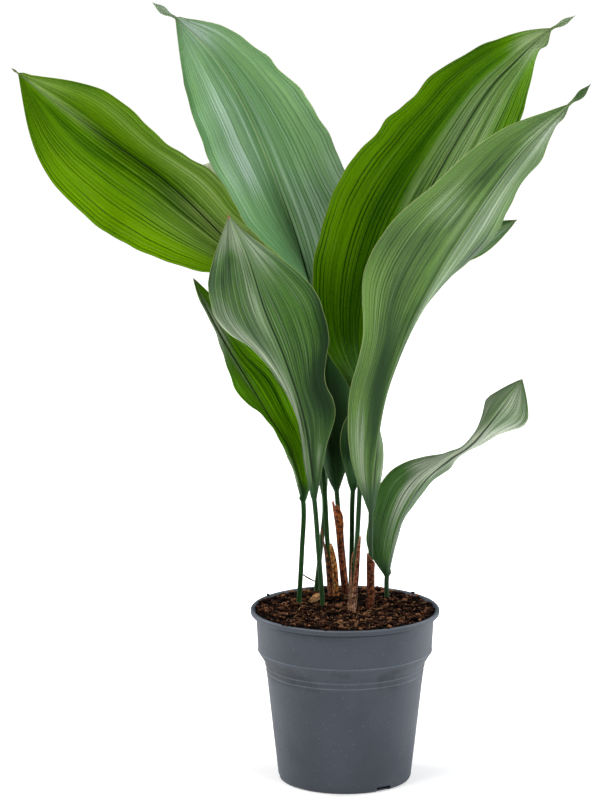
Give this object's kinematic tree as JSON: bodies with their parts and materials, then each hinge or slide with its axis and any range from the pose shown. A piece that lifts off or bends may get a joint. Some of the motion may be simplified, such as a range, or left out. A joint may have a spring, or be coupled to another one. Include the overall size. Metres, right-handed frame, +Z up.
{
  "type": "potted cast iron plant",
  "caption": "House plant with broad, pointed leaves on long stalks that rise from soil in a round, tapered plastic nursery pot with a collar and a rolled rim.",
  "frame": {"origin": "centre of the pot's flat underside, on the surface that it stands on", "axes": "+Z up, -Y towards the front that the picture shows, +X to its right"},
  "size_m": [0.511, 0.3189, 0.6905],
  "materials": {
    "pot": "matte",
    "soil": "matte",
    "rootstock": "matte",
    "leaf_bright": "satin",
    "leaf_pale": "satin",
    "leaf_dark": "satin",
    "sheath": "matte"
  },
  "bodies": {
    "root": {"pot": "pot", "soil": "soil", "rootstock": "rootstock", "far_left_leaf": "leaf_bright", "tall_left_leaf": "leaf_pale", "front_left_leaf": "leaf_pale", "tall_right_leaf": "leaf_dark", "front_right_leaf": "leaf_pale", "back_right_leaf": "leaf_pale", "low_left_leaf": "leaf_dark", "small_right_leaf": "leaf_pale", "dry_tip_leaf": "leaf_bright", "sheath_far_left": "sheath", "sheath_orange": "sheath", "sheath_tall_left": "sheath", "sheath_back_right": "sheath", "sheath_front_right": "sheath"}
  },
  "joints": []
}
